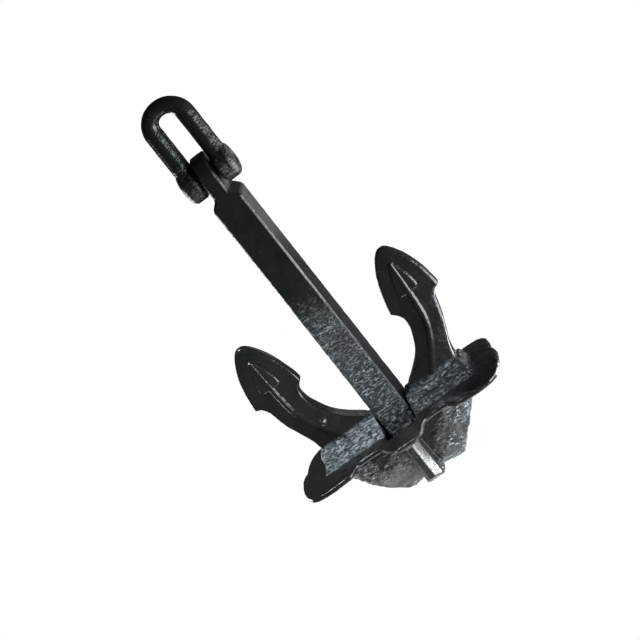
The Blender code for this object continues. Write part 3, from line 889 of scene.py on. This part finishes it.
def steel(name, dark, light, roughness, metallic, scratch=260):
    """Bare or thinly painted turned steel or lead, with grime and fine tool marks."""
    n = Nodes(name)
    grime = n.remap(n.noise(55, 4, 0.6), 0.38, 0.62)
    n.link(n.blend(grime, dark, light), n.shader.inputs["Base Color"])
    uneven = n.remap(n.noise(90, 3, 0.6), 0.3, 0.7, roughness - 0.08, roughness + 0.14)
    n.link(uneven, n.shader.inputs["Roughness"])
    n.shader.inputs["Metallic"].default_value = metallic
    marks = n.bump(n.noise(scratch, 3, 0.6), 0.35, 0.0006)
    n.link(n.bump(n.noise(48, 3, 0.5), 0.25, 0.0020, marks), n.shader.inputs["Normal"])
    return n.material


def dress(obj, material, body, slot, *nodes):
    """Give a piece its material and its body, and hide the CAD nodes that it stands in for. The slot is not
    used.
    """
    obj.data.materials.clear()
    obj.data.materials.append(material)
    obj.data.shade_smooth()
    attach(obj, body)
    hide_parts(*nodes)


# ---------------------------------------------------------------- the anchor

dress(build_head(), black_paint("head_paint"), "head", "anchor_head", "anchor_head")
dress(build_shank(), black_paint("shank_paint", 0.16), "shank", "shank", "shank")
dress(build_bow(), black_paint("shackle_paint", 0.18, 0.8), "shackle", "shackle_bow", "shackle_bow")

pin = build_turned("shackle_pin", "turned_shackle_pin", "x", 0.003)
pin.data.set_sharp_from_angle(angle=SHARP_ANGLE)
dress(pin, steel("shackle_pin_finish", (0.004, 0.005, 0.005), (0.020, 0.024, 0.025), 0.30, 0.0), "shackle",
      "shackle_pin", "shackle_pin")
pin = build_turned("crown_pin", "turned_crown_pin", "x", 0.003)
dress(pin, steel("crown_pin_finish", (0.030, 0.029, 0.027), (0.085, 0.080, 0.074), 0.42, 0.9), "head",
      "crown_pin", "crown_pin")
for end in ("left", "right"):
    node = "crown_keeper_" + end
    keeper = build_turned(node, "turned_keeper_" + end, "y", 0.002)
    dress(keeper, steel(node + "_finish", (0.020, 0.020, 0.019), (0.075, 0.070, 0.064), 0.45, 0.6), "head",
          "crown_keeper", node)
for end in ("front", "back"):
    node = "lead_plug_" + end
    plug = build_turned(node, "poured_plug_" + end, "y", 0.0012, 48)
    lead = steel(node + "_finish", (0.020, 0.022, 0.023), (0.090, 0.095, 0.100), 0.50, 0.3, 330)
    dress(plug, lead, "shackle", "lead_plug", node)
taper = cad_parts["shackle_taper_pin"]
taper.data.materials.clear()
taper_steel = steel("taper_pin_finish", (0.030, 0.030, 0.030), (0.100, 0.100, 0.100), 0.40, 0.9)
taper.data.materials.append(taper_steel)


# ---------------------------------------------------------------- floor, light and camera

FLOOR_Z = -1.75
FLOOR_HALF = 30.0
WHITE = (1, 1, 1)
COOL = (0.90, 0.96, 1.0)
BACKGROUND_DIM = (0.050, 0.053, 0.056)
CENTRE = (0, 0, -0.80)

# Area lights: name, direction they stand in, distance, size, power, colour, what they face
STRIPS = [
    ("right_strip", (0.954, 0.168, -0.25), 2.8, (2.3, 1.3), 100, WHITE, (0, 0, -0.90)),
    ("front_right", (0.74, -0.60, -0.25), 2.8, (1.8, 1.2), 90, (0.84, 0.93, 1.0), CENTRE),
    ("back_grey", (0.20, 0.95, 0.0), 1.6, (0.38, 0.5), 0.24, WHITE, (0.05, 0.0, -0.62)),
    ("left_strip", (-0.906, 0.42, -0.25), 2.8, (2.2, 0.9), 70, WHITE, CENTRE),
    ("low_strip", (-0.20, -0.55, -0.55), 0.1, (1.5, 0.11), 5.5, WHITE, (-0.03, -0.48, -1.66)),
    ("right_low", (0.841, 0.48, -0.253), 1.1, (0.55, 0.28), 12, COOL, (0.02, -0.18, -1.30)),
    ("floor_glow", (0, 0, -1), 0.9, (1.2, 0.9), 4, COOL, (0.00, -0.05, -0.80)),
]
LAMP_PLACE = (-0.56, -0.715, 0.592)
LAMP_TARGET = (-0.15, -0.09, -1.16)
CAMERA_PLACE = (1.5048522, -7.2169185, 1.1401427)
CAMERA_TURN = (71.519, 36.917, 0.523)   # degrees about X, Y and Z
LENS_MM = 140.63
SENSOR_MM = 36.0


def add_light(name, kind, power, colour, place, target):
    data = bpy.data.lights.new(name, kind)
    data.energy = power
    data.color = colour
    light = bpy.data.objects.new(name, data)
    bpy.context.scene.collection.objects.link(light)
    light.location = place
    light.rotation_euler = (Vector(place) - Vector(target)).to_track_quat("Z", "Y").to_euler()
    return light


def light_studio():
    for name, direction, distance, size, power, colour, target in STRIPS:
        place = Vector(target) + Vector(direction).normalized() * distance
        strip = add_light(name, "AREA", power, colour, place, target)
        strip.data.shape = "RECTANGLE"
        strip.data.size, strip.data.size_y = size
        strip.visible_camera = False
    lamp = add_light("crown_lamp", "SPOT", 165, (0.86, 0.95, 1.0), LAMP_PLACE, LAMP_TARGET)
    lamp.data.shadow_soft_size = 0.12
    lamp.data.spot_size = math.radians(28)
    lamp.data.spot_blend = 1.0


def surround():
    """A backdrop that is white to the eye but dim to everything that it lights."""
    world = bpy.data.worlds.new("studio")
    bpy.context.scene.world = world
    world.use_nodes = True
    tree = world.node_tree
    path = tree.nodes.new("ShaderNodeLightPath")
    mix = tree.nodes.new("ShaderNodeMix")
    mix.data_type = "RGBA"
    tree.links.new(path.outputs["Is Camera Ray"], mix.inputs["Factor"])
    mix.inputs[6].default_value = (*BACKGROUND_DIM, 1.0)
    mix.inputs[7].default_value = (1.0, 1.0, 1.0, 1.0)
    tree.links.new(mix.outputs[2], tree.nodes["Background"].inputs["Color"])


def floor_paint():
    """Evenly white to the eye, matt to the light, and clear from underneath."""
    paint = bpy.data.materials.new("floor_white")
    paint.use_nodes = True
    tree = paint.node_tree
    matt = tree.nodes["Principled BSDF"]
    matt.inputs["Base Color"].default_value = (0.9, 0.9, 0.9, 1.0)
    matt.inputs["Roughness"].default_value = 0.9
    matt.inputs["Specular IOR Level"].default_value = 0.0
    emission = tree.nodes.new("ShaderNodeEmission")
    clear = tree.nodes.new("ShaderNodeBsdfTransparent")
    path = tree.nodes.new("ShaderNodeLightPath")
    geometry = tree.nodes.new("ShaderNodeNewGeometry")

    def mixed(amount, first, second):
        node = tree.nodes.new("ShaderNodeMixShader")
        for source, socket in zip((amount, first, second), node.inputs):
            tree.links.new(source, socket)
        return node.outputs["Shader"]

    from_above = mixed(path.outputs["Is Camera Ray"], matt.outputs["BSDF"], emission.outputs["Emission"])
    surface = mixed(geometry.outputs["Backfacing"], from_above, clear.outputs["BSDF"])
    tree.links.new(surface, tree.nodes["Material Output"].inputs["Surface"])
    return paint


def lay_floor():
    corners = [(x * FLOOR_HALF, y * FLOOR_HALF, FLOOR_Z) for x, y in ((-1, -1), (1, -1), (1, 1), (-1, 1))]
    floor = mesh_object("floor", corners, [(0, 1, 2, 3)])
    floor.data.materials.append(floor_paint())
    floor.visible_glossy = False
    floor.visible_shadow = False


def set_camera():
    data = bpy.data.cameras.new("camera")
    data.lens = LENS_MM
    data.sensor_width = SENSOR_MM
    data.clip_end = 200.0
    camera = bpy.data.objects.new("camera", data)
    bpy.context.scene.collection.objects.link(camera)
    camera.location = CAMERA_PLACE
    camera.rotation_euler = Euler([math.radians(angle) for angle in CAMERA_TURN], "XYZ")
    bpy.context.scene.camera = camera


surround()
lay_floor()
light_studio()
set_camera()
bpy.context.scene.view_settings.view_transform = "Standard"
